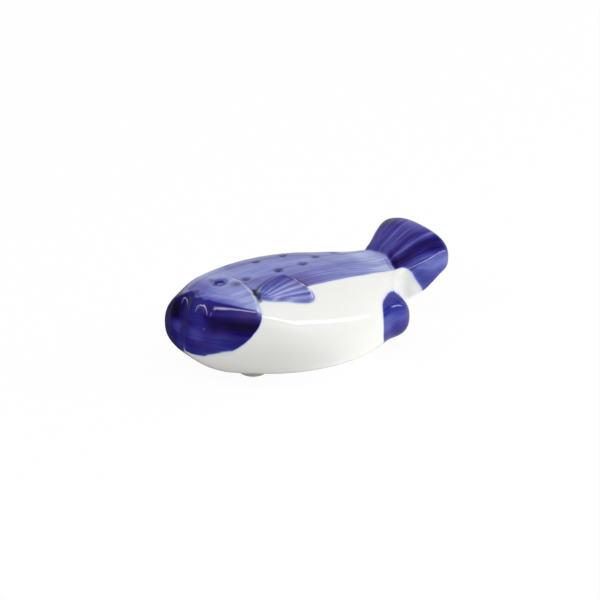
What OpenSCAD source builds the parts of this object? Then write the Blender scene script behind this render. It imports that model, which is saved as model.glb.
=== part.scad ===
// Chopstick rest: a glazed porcelain puffer fish that lies on its side with its tail turned up.
// X runs from the snout to the tail, +Y is the side of the fish's back, +Z is up from the table.

/* [Body] */
// Length from the snout to the tail's trailing edge
fish_len = 61; // [55:1:67]
// Reach of the belly from the mouth's line, at its fullest
belly_reach = 20.4; // [18:0.2:22]
// Reach of the back from the mouth's line, at its fullest
back_reach = 17.6; // [15:0.2:19]
// Height of the crown of the body above the table
crown_h = 16.2; // [15:0.2:18]
// Length over which the blunt snout rounds off
snout_round = 4.2; // [3:0.2:6]

/* [Head] */
// Step from the gill cover down to the body
gill_step = 0.6; // [0.3:0.05:0.9]
// Width of the crease between the two lips
lip_gap = 1.5; // [1:0.1:2]
// Diameter of the eyeball
eye_d = 2.7; // [2.2:0.1:3.4]
// Diameter of a spot pressed into the back
spot_d = 1.5; // [1:0.1:2]

/* [Fins] */
// Thickness of the pectoral fin on the flank
fin_step = 0.7; // [0.4:0.05:1]
// Length of the pectoral fin from its root
fin_len = 11.4; // [10:0.1:12.5]
// Width of the grooves between the fin rays
ray_w = 0.8; // [0.5:0.1:1.1]
// Thickness of the rounded anal and dorsal fins
lobe_t = 8.8; // [7.5:0.1:9.6]

/* [Tail] */
// Width of the tail fin near its trailing edge
tail_w = 21.4; // [18:0.2:24]
// Width of the stem that carries the tail fin
stem_w = 14.8; // [13:0.2:17]
// Height of the tail fin's top above the table
tail_h = 17.6; // [16:0.2:20]
// Height of the saddle in front of the tail fin
saddle_h = 13; // [12:0.2:14]
// Thickness of the tail fin at its trailing edge
tail_t = 6.6; // [5:0.1:7.5]
// Length over which the tail's corners round off
tail_round = 3.9; // [2.5:0.1:5]

/* [Underside] */
// Diameter of a foot pad
pad_d = 6.4; // [5:0.2:7]
// Height of a foot pad
pad_h = 1.9; // [1.5:0.1:2.4]
// Diameter of the spot where a foot pad meets the table
contact_d = 2.6; // [2:0.1:3]
// Thickness of the adhesive film that holds a foot pad
film_t = 0.1; // [0.05:0.05:0.2]
// Diameter of the vent hole in the base
vent_d = 3; // [2:0.2:4]

/* [Hidden] */

// The skin of the body is a loft of rings, one at each station along the fish
stations = 58;
ring_points = 42;
small_facets = 12;
ball_facets = 20;
round_facets = 32;

// The flat base sits on the pads, and the rounded underside is cut off there
base_z = pad_h + film_t;
sole_z = 0.75 * base_z;
// The mouth's line is off the middle of the width
mid_x = fish_len / 2;
mid_y = (belly_reach - back_reach) / 2;

// Outlines: shares of fish_len from the snout, then shares of the reach or of the crown's height
belly_shares = [[0, 0.25], [0.03, 0.32], [0.1, 0.53], [0.17, 0.72], [0.25, 0.88], [0.35, 0.98],
    [0.43, 1], [0.5, 0.98], [0.58, 0.91], [0.66, 0.77], [0.72, 0.6], [0.77, 0.43]];
back_shares = [[0, 0.52], [0.03, 0.6], [0.1, 0.75], [0.17, 0.88], [0.25, 0.96], [0.35, 1],
    [0.43, 1], [0.5, 0.96], [0.58, 0.88], [0.66, 0.74], [0.72, 0.58], [0.77, 0.47]];
crown_shares = [[0, 0.89], [0.04, 0.925], [0.1, 0.955], [0.2, 0.985], [0.33, 1], [0.45, 0.98],
    [0.56, 0.94], [0.66, 0.87]];
// The tail: shares of fish_len, then shares of the way from the saddle up to the tail's top
rise_shares = [[0.75, 0.02], [0.81, 0], [0.87, 0.38], [0.93, 0.78], [1, 1]];
// The underside: shares of fish_len, then shares of the way from the sole up to the saddle
sole_shares = [[0, 0.2], [0.06, 0.07], [0.1, 0], [0.6, 0], [0.66, 0.01], [0.72, 0.06],
    [0.78, 0.15], [0.84, 0.3], [0.93, 0.68]];
// The sides of the tail fin: shares of fish_len, then shares of the way out from the stem to the fin's width
belly_flare_shares = [[0.81, 0], [0.84, 0.4], [0.88, 0.85], [0.94, 1], [1, 1]];
back_flare_shares = [[0.81, 0], [0.85, 0.22], [0.89, 0.64], [0.94, 1], [1, 1.04]];

function lerp(a, b, t) = a + (b - a) * t;
function find(p, x, i = 0) = i >= len(p) - 2 || x < p[i + 1][0] ? i : find(p, x, i + 1);
function slope(p, i) =
    let (a = max(i - 1, 0), b = min(i + 1, len(p) - 1)) (p[b][1] - p[a][1]) / (p[b][0] - p[a][0]);

// Smooth curve through a table of [place, value]
function curve(p, x) =
    x <= p[0][0] ? p[0][1] : x >= p[len(p) - 1][0] ? p[len(p) - 1][1] :
    let (i = find(p, x), h = p[i + 1][0] - p[i][0], t = (x - p[i][0]) / h, u = t * t * (3 - 2 * t),
         a = t * (1 - t) * (1 - t), b = t * t * (1 - t))
    lerp(p[i][1], p[i + 1][1], u) + h * (a * slope(p, i) - b * slope(p, i + 1));

// 0 to 1 over the length r, as a rounded end
function rounded(x, r, p) = x >= r ? 1 : x <= 0 ? 0 : pow(1 - pow(1 - x / r, p), 1 / p);
// 0 before the share a, 1 after the share b
function past(x, a, b) = max(0, min(1, (x / fish_len - a) / (b - a)));

function stretched(shares, reach) = [for (q = shares) [q[0] * fish_len, q[1] * reach]];
function tail_side(shares) = [for (q = shares) [q[0] * fish_len, lerp(stem_w, tail_w, q[1]) / 2]];
belly_line = concat(stretched(belly_shares, belly_reach), tail_side(belly_flare_shares));
back_line = concat(stretched(back_shares, back_reach), tail_side(back_flare_shares));
crown_line = concat(stretched(crown_shares, crown_h),
    [for (q = rise_shares) [q[0] * fish_len, lerp(saddle_h, tail_h, q[1])]]);
sole_line = concat([for (q = sole_shares) [q[0] * fish_len, lerp(sole_z, saddle_h, q[1])]],
    [[fish_len, tail_h - tail_t]]);

// Each ring is two half superellipses that meet at the widest level
function reach_at(x, y) = curve(y > 0 ? back_line : belly_line, x)
    * rounded(x, snout_round, 2.2) * rounded(fish_len - x, tail_round, 2.2);
function widest_z(x) = lerp(curve(sole_line, x), curve(crown_line, x), lerp(0.36, 0.5, past(x, 0.6, 0.85)));
function ends(x, snout, tail) =
    rounded(x, snout * snout_round, 2.2) * rounded(fish_len - x, tail * tail_round, 2);
function roof_tall(x, raised) = (curve(crown_line, x) + raised - widest_z(x)) * ends(x, 1.4, 0.5);
function floor_tall(x) = (widest_z(x) - curve(sole_line, x)) * ends(x, 1, 0.7);
function roof_power(x) =
    lerp(2, 2.45, past(x, 0.03, 0.22)) + 1.55 * past(x, 0.6, 0.85) - 1.4 * past(x, 0.85, 1);
function floor_power(x) = lerp(3.3, 4, past(x, 0, 0.8)) - 1.4 * past(x, 0.85, 1);
function ring_point(x, angle, raised) =
    let (c = cos(angle), s = sin(angle), n = s > 0 ? roof_power(x) : floor_power(x),
         r = pow(pow(abs(c), n) + pow(abs(s), n), -1 / n))
    [x, reach_at(x, c) * r * c,
        widest_z(x) + (s > 0 ? roof_tall(x, raised * s * s) : floor_tall(x)) * r * s];
// Height of the body's top at a place
function roof_z(x, y, raised = 0) =
    let (n = roof_power(x), q = min(1, abs(y) / reach_at(x, y)))
    widest_z(x) + roof_tall(x, raised) * pow(1 - pow(q, n), 1 / n);

// Stations stand closer together towards the two ends
function station_x(i) = let (t = i / stations) lerp(t, (1 - cos(180 * t)) / 2, 0.7) * fish_len;

// The body's skin, with its top lifted by the given height
module skin(raised = 0) {
    last = stations - 1;
    points = concat(
        [[0, 0, widest_z(0)]],
        [for (i = [1 : last]) for (j = [0 : ring_points - 1])
            ring_point(station_x(i), 360 * j / ring_points, raised)],
        [[fish_len, 0, widest_z(fish_len)]]);
    function at(i, j) = 1 + (i - 1) * ring_points + j % ring_points;
    tip = len(points) - 1;
    faces = concat(
        [for (j = [0 : ring_points - 1]) [0, at(1, j), at(1, j + 1)]],
        [for (i = [1 : last - 1]) for (j = [0 : ring_points - 1])
            [at(i, j), at(i + 1, j), at(i + 1, j + 1), at(i, j + 1)]],
        [for (j = [0 : ring_points - 1]) [tip, at(last, j + 1), at(last, j)]]);
    polyhedron(points = points, faces = faces, convexity = 6);
}

// The gill cover ends in an ellipse across the head
gill_x = 0.033 * fish_len;
gill_y = -0.05 * belly_reach;
gill_len = 0.207 * fish_len;
gill_reach = 0.82 * belly_reach;
relief_z = 0.8 * crown_h;
module gill_cover() {
    intersection() {
        skin(gill_step);
        translate([gill_x, gill_y, relief_z]) scale([gill_len, gill_reach, crown_h])
            cylinder(r = 1, h = 1, $fn = 2 * round_facets);
    }
}

// Places beside the mouth: shares of snout_round inwards, of belly_reach aside, of crown_h up
mouth_y = -0.02 * belly_reach;
function mouth_place(q) = [q[0] * snout_round, mouth_y + q[1] * belly_reach, q[2] * crown_h];

// The near lip is a narrow ridge, the far lip a wide swelling, given by its centre and half sizes
near_lip_shares = [[1, -0.035, 0.9], [0.78, -0.08, 0.85], [0.64, -0.11, 0.77], [0.57, -0.12, 0.66]];
near_lip_d = 2 * lip_gap;
far_lip_shares = [[0.8, 0.16, 0.58], [0.8, 0.21, 0.365]];
module near_lip() {
    for (i = [0 : len(near_lip_shares) - 2])
        hull() for (q = [near_lip_shares[i], near_lip_shares[i + 1]])
            translate(mouth_place(q)) sphere(d = near_lip_d, $fn = ball_facets);
}
module far_lip() {
    size = far_lip_shares[1];
    translate(mouth_place(far_lip_shares[0]))
        scale([size[0] * snout_round, size[1] * belly_reach, size[2] * crown_h])
            sphere(r = 1, $fn = ball_facets);
}

// The crease runs down the snout between the lips
crease_shares = [[0.88, 0.08, 0.96], [0.6, 0.05, 0.91], [0.32, 0.01, 0.82], [0.13, 0, 0.68],
    [0.06, 0, 0.53], [0.16, 0, 0.37]];
module mouth_crease() {
    for (i = [0 : len(crease_shares) - 2])
        hull() for (q = [crease_shares[i], crease_shares[i + 1]])
            translate(mouth_place(q)) sphere(d = lip_gap, $fn = small_facets);
}

// The eye bulges out of a shallow socket
eye_x = 0.18 * fish_len;
eye_y = 0.19 * back_reach;
socket_d = 1.6 * eye_d;
socket_deep = 0.16 * eye_d;
module on_roof(x, y, raised) { translate([x, y, roof_z(x, y, raised)]) children(); }
module dish(d, deep) { scale([1, 1, 2 * deep / d]) sphere(d = d, $fn = ball_facets); }
module eye_socket() { on_roof(eye_x, eye_y, gill_step) dish(socket_d, socket_deep); }
module eyeball() {
    on_roof(eye_x, eye_y, gill_step) translate([0, 0, -0.06 * eye_d]) dish(eye_d, 0.24 * eye_d);
}

// Spots pressed into the back: shares of fish_len from the snout, shares of back_reach from the mouth's line
spot_shares = [[0.26, 0.04], [0.37, 0.43], [0.387, 0.03], [0.482, 0.44], [0.49, 0.07], [0.569, 0.23],
    [0.667, 0.3], [0.3, 0.66], [0.42, 0.72], [0.55, 0.62]];
module spots() {
    for (q = spot_shares) on_roof(q[0] * fish_len, q[1] * back_reach, 0) dish(spot_d, 0.25 * spot_d);
}

// The pectoral fin is a fan that lies on the flank, its root under the edge of the gill cover
fan_x = 0.228 * fish_len;
fan_y = -0.314 * belly_reach;
// Its outline as shares of fin_len from the root
fan_shares = [[0, 0], [0.02, -0.105], [0.13, -0.19], [0.28, -0.28], [0.48, -0.4], [0.64, -0.49],
    [0.76, -0.525], [0.87, -0.475], [0.94, -0.35], [0.965, -0.2], [0.955, -0.02], [0.92, 0.16],
    [0.86, 0.31], [0.76, 0.42], [0.64, 0.475], [0.5, 0.455], [0.34, 0.385], [0.19, 0.28], [0.08, 0.16]];
// The rays meet a little behind the root
ray_heart = [-0.11 * fin_len, 0.035 * fin_len];
ray_angles = [-33, 31];
ray_count = 5;
module pectoral_fin() {
    intersection() {
        skin(fin_step);
        translate([fan_x, fan_y, relief_z]) linear_extrude(height = crown_h)
            polygon(fin_len * fan_shares);
    }
}
module pectoral_grooves() {
    for (i = [1 : ray_count]) {
        a = lerp(ray_angles[0], ray_angles[1], i / (ray_count + 1));
        hull() for (s = [0.36, 0.88]) {
            x = fan_x + ray_heart[0] + s * fin_len * cos(a);
            y = fan_y + ray_heart[1] + s * fin_len * sin(a);
            on_roof(x, y, fin_step) translate([0, 0, 0.22 * ray_w]) sphere(d = ray_w, $fn = small_facets);
        }
    }
}

// A rounded fin stands out behind the belly, and one like it behind the back
lobe_z = base_z + lobe_t / 2;
// Shares of fish_len from the snout, shares of the reach from the mouth's line, shares of lobe_t as radius
anal_shares = [[0.683, 0.605, 0.5], [0.61, 0.62, 0.46]];
dorsal_shares = [[0.68, 0.55, 0.42], [0.61, 0.6, 0.4]];
module lobe(shares, reach) {
    hull() for (q = shares, level = [-1, 1])
        translate([q[0] * fish_len, q[1] * reach, lobe_z + 0.14 * level * lobe_t])
            scale([q[2], q[2], 0.36]) sphere(r = lobe_t, $fn = ball_facets);
}

// Grooves fan out over the tail's top, shares are of the half width
tail_ray_shares = [-0.72, -0.48, -0.24, 0, 0.24, 0.48, 0.72];
tail_root_x = 0.835 * fish_len;
tail_end_x = 0.965 * fish_len;
module tail_grooves() {
    for (q = tail_ray_shares)
        hull() for (end = [[tail_root_x, stem_w], [tail_end_x, tail_w]])
            on_roof(end[0], q * end[1] / 2, 0)
                translate([0, 0, 0.28 * ray_w]) sphere(d = ray_w, $fn = small_facets);
}

// The tail's root is set off from the stem by a crease
module tail_crease() {
    for (side = [-1, 1])
        hull() for (q = [0, 0.66])
            on_roof(lerp(tail_root_x, 0.8 * fish_len, q * q), side * q * stem_w / 2, 0)
                translate([0, 0, 0.3 * ray_w]) sphere(d = ray_w, $fn = small_facets);
}

vent_x = 0.42 * fish_len;
vent_deep = 1.2 * vent_d;
module underside_cuts() {
    cut = 2 * fish_len;
    translate([-cut / 2, -cut / 2, base_z - cut]) cube(cut);
    translate([vent_x, 0, base_z - vent_deep]) cylinder(d = vent_d, h = 2 * vent_deep, $fn = round_facets);
}

module placed() { translate([-mid_x, mid_y, 0]) children(); }

module porcelain_body() {
    color("white") placed() difference() {
        union() {
            difference() {
                union() {
                    skin();
                    gill_cover();
                    near_lip();
                    far_lip();
                    pectoral_fin();
                    lobe(anal_shares, -belly_reach);
                    lobe(dorsal_shares, back_reach);
                }
                eye_socket();
            }
            eyeball();
        }
        mouth_crease();
        spots();
        pectoral_grooves();
        tail_grooves();
        tail_crease();
        underside_cuts();
    }
}

// Clear pads: a short wall, then a dome that is flat where it meets the table
pad_wall = 0.25 * pad_h;
pad_steps = 6;
module foot_pad(spot) {
    dome = [for (i = [0 : pad_steps]) let (a = 90 * i / pad_steps)
        [lerp(contact_d, pad_d, sin(a)) / 2, (pad_h - pad_wall) * (1 - cos(a))]];
    color([0.75, 0.76, 0.72, 0.5]) placed() translate([spot[0], spot[1], 0])
        rotate_extrude($fn = round_facets)
            polygon(concat([[0, 0]], dome, [[pad_d / 2, pad_h], [0, pad_h]]));
}
module adhesive(spot) {
    color([0.8, 0.8, 0.75, 0.6]) placed() translate([spot[0], spot[1], pad_h])
        cylinder(d = 0.94 * pad_d, h = film_t, $fn = round_facets);
}

belly_spot = [0.2 * fish_len, -0.345 * belly_reach];
back_spot = [0.22 * fish_len, 0.5 * back_reach];
tail_spot = [0.63 * fish_len, -0.08 * belly_reach];

module belly_foot_pad() { foot_pad(belly_spot); }
module back_foot_pad() { foot_pad(back_spot); }
module tail_foot_pad() { foot_pad(tail_spot); }
module belly_pad_adhesive() { adhesive(belly_spot); }
module back_pad_adhesive() { adhesive(back_spot); }
module tail_pad_adhesive() { adhesive(tail_spot); }

porcelain_body();
belly_foot_pad();
back_foot_pad();
tail_foot_pad();
belly_pad_adhesive();
back_pad_adhesive();
tail_pad_adhesive();
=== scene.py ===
import math
from types import SimpleNamespace
import bmesh
import bpy
import numpy as np
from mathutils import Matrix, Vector


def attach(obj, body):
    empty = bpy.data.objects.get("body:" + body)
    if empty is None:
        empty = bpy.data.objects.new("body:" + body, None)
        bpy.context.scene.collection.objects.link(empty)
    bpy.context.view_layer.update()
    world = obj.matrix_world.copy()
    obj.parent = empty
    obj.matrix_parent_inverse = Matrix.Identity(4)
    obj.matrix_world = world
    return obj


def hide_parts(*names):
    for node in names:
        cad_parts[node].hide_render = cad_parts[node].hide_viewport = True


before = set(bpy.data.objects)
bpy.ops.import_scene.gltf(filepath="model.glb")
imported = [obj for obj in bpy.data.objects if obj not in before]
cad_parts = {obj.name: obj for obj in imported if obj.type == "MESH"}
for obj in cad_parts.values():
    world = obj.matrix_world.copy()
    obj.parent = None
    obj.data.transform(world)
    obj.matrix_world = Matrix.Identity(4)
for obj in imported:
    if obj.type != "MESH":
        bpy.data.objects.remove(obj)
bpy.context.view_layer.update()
print("stage: frame loaded")

mm = 0.001

# Main sizes in millimetres, the same as the solid's: x from the snout, y from the mouth's line
fish = {
    "length": 61.0, "bellyReach": 20.4, "backReach": 17.6, "crown": 16.2, "snoutRound": 4.2,
    "tailRound": 3.9, "tailWidth": 21.4, "stemWidth": 14.8, "tailHeight": 17.6, "tailThickness": 6.6,
    "saddle": 13.0, "base": 2.0, "sole": 1.5,
    "ventPlace": 25.6, "ventWidth": 3.0, "ventDepth": 3.6, "ventSides": 48, "crispAngle": 1.0,
}
midX = fish["length"] / 2
midY = (fish["bellyReach"] - fish["backReach"]) / 2

# Outlines as shares of the length, then of the reach or height
bellyShares = [(0, 0.25), (0.03, 0.32), (0.1, 0.53), (0.17, 0.72), (0.25, 0.88), (0.35, 0.98),
               (0.43, 1), (0.5, 0.98), (0.58, 0.91), (0.66, 0.77), (0.72, 0.6), (0.77, 0.43)]
backShares = [(0, 0.52), (0.03, 0.6), (0.1, 0.75), (0.17, 0.88), (0.25, 0.96), (0.35, 1),
              (0.43, 1), (0.5, 0.96), (0.58, 0.88), (0.66, 0.74), (0.72, 0.58), (0.77, 0.47)]
crownShares = [(0, 0.89), (0.04, 0.925), (0.1, 0.955), (0.2, 0.985), (0.33, 1), (0.45, 0.98),
               (0.56, 0.94), (0.66, 0.87)]
riseShares = [(0.75, 0.02), (0.81, 0), (0.87, 0.38), (0.93, 0.78), (1, 1)]
soleShares = [(0, 0.2), (0.06, 0.07), (0.1, 0), (0.6, 0), (0.66, 0.01), (0.72, 0.06),
              (0.78, 0.15), (0.84, 0.3), (0.93, 0.68)]
bellyFlareShares = [(0.81, 0), (0.84, 0.4), (0.88, 0.85), (0.94, 1), (1, 1)]
backFlareShares = [(0.81, 0), (0.85, 0.22), (0.89, 0.64), (0.94, 1), (1, 1.04)]

# Rings of the body: powers square off their corners; stem, tail and rises are shares of the length
rings = {
    "points": 316, "stations": 292, "samplesAlong": 4001, "samplesRound": 1441,
    "endPower": 2.2, "tailPower": 2, "roofEnds": (1.4, 0.5), "floorEnds": (1, 0.7),
    "level": (0.36, 0.5), "stem": (0.6, 0.85), "tail": (0.85, 1),
    "roofPower": (2, 2.45), "roofRise": (0.03, 0.22), "stemRoof": 1.55,
    "floorPower": (3.3, 4), "floorRise": (0, 0.8), "tailDrop": 1.4,
    # The mesh is finer on the head, on the tail and on the top
    "heightCounts": 0.5, "headFiner": 0.9, "headEnd": (24, 30), "tailFiner": 0.35, "tailStart": (46, 50),
    "topFiner": 0.9, "topFrom": (-0.6, 0.0), "endGap": 0.001,
}


def lerp(a, b, t):
    return a + (b - a) * t


def step(x, low, high):
    t = np.clip((x - low) / (high - low), 0, 1)
    return t * t * (3 - 2 * t)


def between(shares, low, high):
    return [(a * fish["length"], lerp(low, high, b)) for a, b in shares]


tailHalves = fish["stemWidth"] / 2, fish["tailWidth"] / 2
bellyLine = between(bellyShares, 0, fish["bellyReach"]) + between(bellyFlareShares, *tailHalves)
backLine = between(backShares, 0, fish["backReach"]) + between(backFlareShares, *tailHalves)
crownLine = between(crownShares, 0, fish["crown"]) + between(riseShares, fish["saddle"], fish["tailHeight"])
soleLine = between(soleShares, fish["sole"], fish["saddle"]) + [
    (fish["length"], fish["tailHeight"] - fish["tailThickness"])]


# Smooth curve through a table of places and values
def curveAt(line, x):
    px, py = np.array(line, float).T
    last = len(px) - 1
    i = np.arange(last + 1)
    before, after = np.maximum(i - 1, 0), np.minimum(i + 1, last)
    slope = (py[after] - py[before]) / (px[after] - px[before])
    x = np.clip(x, px[0], px[last])
    k = np.clip(np.searchsorted(px, x, side="right") - 1, 0, last - 1)
    h = px[k + 1] - px[k]
    t = (x - px[k]) / h
    rise = t * t * (3 - 2 * t)
    return lerp(py[k], py[k + 1], rise) + h * (t * (1 - t) ** 2 * slope[k] - t * t * (1 - t) * slope[k + 1])


def rounded(x, r, power):
    return (1 - (1 - np.clip(x / r, 0, 1)) ** power) ** (1 / power)


def past(x, a, b):
    return step(x / fish["length"], a, b)


def endRounding(x, snout, tail, tailPower):
    atSnout = rounded(x, snout * fish["snoutRound"], rings["endPower"])
    return atSnout * rounded(fish["length"] - x, tail * fish["tailRound"], tailPower)


def sideReach(x, y):
    side = np.where(y > 0, curveAt(backLine, x), curveAt(bellyLine, x))
    return side * endRounding(x, 1, 1, rings["endPower"])


def widestLevel(x):
    share = lerp(*rings["level"], past(x, *rings["stem"]))
    return lerp(curveAt(soleLine, x), curveAt(crownLine, x), share)


def roofRounding(x):
    return endRounding(x, *rings["roofEnds"], rings["tailPower"])


def roofHeight(x):
    return (curveAt(crownLine, x) - widestLevel(x)) * roofRounding(x)


# Place on the plain body: a ring of two half superellipses at each station
def bodyRing(x, angle):
    c, s = np.cos(angle), np.sin(angle)
    roof = lerp(*rings["roofPower"], past(x, *rings["roofRise"])) + rings["stemRoof"] * past(x, *rings["stem"])
    floor = lerp(*rings["floorPower"], past(x, *rings["floorRise"]))
    power = np.where(s > 0, roof, floor) - rings["tailDrop"] * past(x, *rings["tail"])
    level = widestLevel(x)
    deep = (level - curveAt(soleLine, x)) * endRounding(x, *rings["floorEnds"], rings["tailPower"])
    tall = np.where(s > 0, roofHeight(x), deep)
    r = (np.abs(c) ** power + np.abs(s) ** power) ** (-1 / power)
    return sideReach(x, c) * r * c, level + tall * r * s


def closerAtEnds(count):
    return fish["length"] * (1 - np.cos(np.linspace(0, math.pi, count))) / 2


# Places at given shares of a run, whose parts between the samples are known
def sharedOut(samples, run, shares):
    total = np.concatenate([[0], np.cumsum(run)])
    return np.interp(shares * total[-1], total, samples)


# Stations stand evenly along the skin, closer in the head and tail
def stationPlaces(count):
    fine = closerAtEnds(rings["samplesAlong"])
    width = (sideReach(fine, 1.0) + sideReach(fine, -1.0)) / 2
    tall = curveAt(crownLine, fine) * roofRounding(fine)
    run = np.sqrt(np.diff(fine) ** 2 + np.diff(width) ** 2 + rings["heightCounts"] * np.diff(tall) ** 2)
    middle = (fine[1:] + fine[:-1]) / 2
    finer = rings["headFiner"] * (1 - step(middle, *rings["headEnd"]))
    finer = finer + rings["tailFiner"] * step(middle, *rings["tailStart"])
    return sharedOut(fine, run * (1 + finer), np.linspace(0, 1, count))


# Points stand evenly round each ring, closer on the top
def ringAngles(x, count):
    fine = np.linspace(-0.5 * math.pi, 1.5 * math.pi, rings["samplesRound"])
    y, z = bodyRing(np.full_like(fine, x), fine)
    run = np.hypot(np.diff(y), np.diff(z))
    middle = (fine[1:] + fine[:-1]) / 2
    run = run * (1 + rings["topFiner"] * step(np.sin(middle), *rings["topFrom"])) + 1e-9
    return sharedOut(fine, run, np.arange(count) / count)


# Each end of a fin has shares of the length, the side's reach and the thickness
fins = {
    "thickness": 8.8, "height": 4.4, "level": 6.4, "power": 2.4, "blend": 0.9,
    "from": 31, "to": 48, "offMiddle": 4, "most": 8,
    "anal": [(0.683, -0.605, 0.5), (0.61, -0.62, 0.46)],
    "dorsal": [(0.68, 0.55, 0.42), (0.61, 0.6, 0.4)],
}


# How far a place is outside a rounded fin: below zero inside
def outsideFin(shares, reach, x, y, z):
    (ax, ay, ar), (bx, by, br) = [(a * fish["length"], b * reach, c * fins["thickness"]) for a, b, c in shares]
    dx, dy = bx - ax, by - ay
    t = np.clip(((x - ax) * dx + (y - ay) * dy) / (dx * dx + dy * dy), 0, 1)
    radius = lerp(ar, br, t)
    across = np.hypot(x - ax - t * dx, y - ay - t * dy) / radius
    up = np.abs(z - fins["level"]) / fins["height"]
    return ((across ** fins["power"] + up ** fins["power"]) ** (1 / fins["power"]) - 1) * radius


def outsideAnalFin(x, y, z):
    return outsideFin(fins["anal"], fish["bellyReach"], x, y, z)


def outsideDorsalFin(x, y, z):
    return outsideFin(fins["dorsal"], fish["backReach"], x, y, z)


def pathDistance(points, places):
    best = np.full(len(places), 1e9)
    for a, b in zip(points[:-1], points[1:]):
        along = b - a
        t = np.clip((places - a) @ along / (along @ along), 0, 1)
        best = np.minimum(best, np.linalg.norm(places - a - t[:, None] * along, axis=1))
    return best


# The near lip follows a line; the far lip is an ellipsoid with a middle and three radii
lips = {
    "near": [(4.4, -0.6, 14.5), (3.2, -1.5, 13.9), (2.4, -2.2, 12.6), (2.1, -2.5, 10.9)], "nearRadius": 1.4,
    "far": ((3.36, 2.86, 9.4), (3.36, 4.28, 5.9)),
    "blend": 1.0, "from": 0, "to": 7, "offMiddle": 0, "most": 4,
}


def outsideNearLip(x, y, z):
    return pathDistance(np.array(lips["near"]), np.stack([x, y, z], 1)) - lips["nearRadius"]


def outsideFarLip(x, y, z):
    (cx, cy, cz), (rx, ry, rz) = lips["far"]
    gauge = np.sqrt(((x - cx) / rx) ** 2 + ((y - cy) / ry) ** 2 + ((z - cz) / rz) ** 2)
    return (gauge - 1) * min(rx, ry)


# The smaller of two values with a soft corner, or the larger where k is below zero
def softMin(a, b, k):
    h = np.clip(0.5 + 0.5 * (b - a) / k, 0, 1)
    return lerp(b, a, h) - k * h * (1 - h)


# Moves places outwards in their rings until they are clear of the swellings, tried from the most
# that they may move inwards
def swell(x, y, z, forms, settings, least=-0.2, tries=90):
    chosen = (x > settings["from"]) & (x < settings["to"]) & (np.abs(y) >= settings["offMiddle"])
    level = widestLevel(x[chosen])
    r = np.hypot(y[chosen], z[chosen] - level)
    safe = np.maximum(r, 1e-6)
    dy, dz = y[chosen] / safe, (z[chosen] - level) / safe

    def outside(t):
        field = np.full_like(r, t)
        for form in forms:
            field = softMin(field, form(x[chosen], dy * (r + t), level + dz * (r + t)), settings["blend"])
        return field

    trials = np.linspace(least, settings["most"], tries)[::-1]
    reach = r.copy()
    found = np.zeros(len(r), bool)
    outer = outside(trials[0])
    for before, t in zip(trials[:-1], trials[1:]):
        inner = outside(t)
        crossing = (inner <= 0) & (outer > 0) & ~found
        share = outer / np.maximum(outer - inner, 1e-9)
        reach = np.where(crossing, r + lerp(before, t, share), reach)
        found |= crossing
        outer = inner
    y[chosen], z[chosen] = dy * reach, level + dz * reach


print("stage: body")


def newMesh(name, bm):
    mesh = bpy.data.meshes.new(name)
    bm.to_mesh(mesh)
    bm.free()
    obj = bpy.data.objects.new(name, mesh)
    bpy.context.scene.collection.objects.link(obj)
    for face in mesh.polygons:
        face.use_smooth = True
    return obj


def readVectors(items, name):
    values = np.empty(len(items) * 3)
    items.foreach_get(name, values)
    return values.reshape(-1, 3)


def readPlaces(mesh):
    return readVectors(mesh.vertices, "co")


def writePlaces(mesh, co):
    mesh.vertices.foreach_set("co", co.astype(np.float32).ravel())
    mesh.update()


def setAttribute(mesh, name, values):
    layer = mesh.attributes.get(name) or mesh.attributes.new(name, "FLOAT", "POINT")
    layer.data.foreach_set("value", np.asarray(values, np.float32))


# Rounds of smoothing, each with the part of the body that it softens
softening = [
    (36, lambda x, y, z: x < 7.5),
    (12, lambda x, y, z: x < 10),
    (24, lambda x, y, z: 8 < x < 32 and z > 5),
    (10, lambda x, y, z: 30 < x < 50 and abs(y) > 4),
]


# A sphere whose rows and columns are laid on the body's stations and rings
def makePorcelain():
    points, stations = rings["points"], rings["stations"]
    bm = bmesh.new()
    bmesh.ops.create_uvsphere(bm, u_segments=points, v_segments=stations, radius=1)
    obj = newMesh("glazedPorcelain", bm)
    ball = readPlaces(obj.data)
    row = np.rint(np.arccos(np.clip(-ball[:, 2], -1, 1)) / math.pi * stations).astype(int)
    turn = np.arctan2(ball[:, 1], ball[:, 0]) % (2 * math.pi)
    column = np.rint(turn / (2 * math.pi) * points).astype(int) % points
    places = stationPlaces(stations + 1)
    offEnds = np.clip(places, rings["endGap"], fish["length"] - rings["endGap"])
    angles = np.array([ringAngles(x, points) for x in offEnds])
    x = places[row]
    y, z = bodyRing(x, angles[row, column])
    pole = (row == 0) | (row == stations)
    y[pole] = 0
    z[pole] = widestLevel(x[pole])
    swell(x, y, z, [outsideAnalFin, outsideDorsalFin], fins)
    swell(x, y, z, [outsideNearLip, outsideFarLip], lips)
    writePlaces(obj.data, np.stack([x, y, z], 1))
    bm = bmesh.new()
    bm.from_mesh(obj.data)
    chosen = [(count, [v for v in bm.verts if wanted(*v.co)]) for count, wanted in softening]
    for count, verts in chosen:
        for i in range(count):
            bmesh.ops.smooth_vert(bm, verts=verts, factor=0.5, use_axis_x=True, use_axis_y=True,
                                  use_axis_z=True)
    bm.to_mesh(obj.data)
    bm.free()
    return obj


porcelain = makePorcelain()
print("stage: relief")

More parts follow.
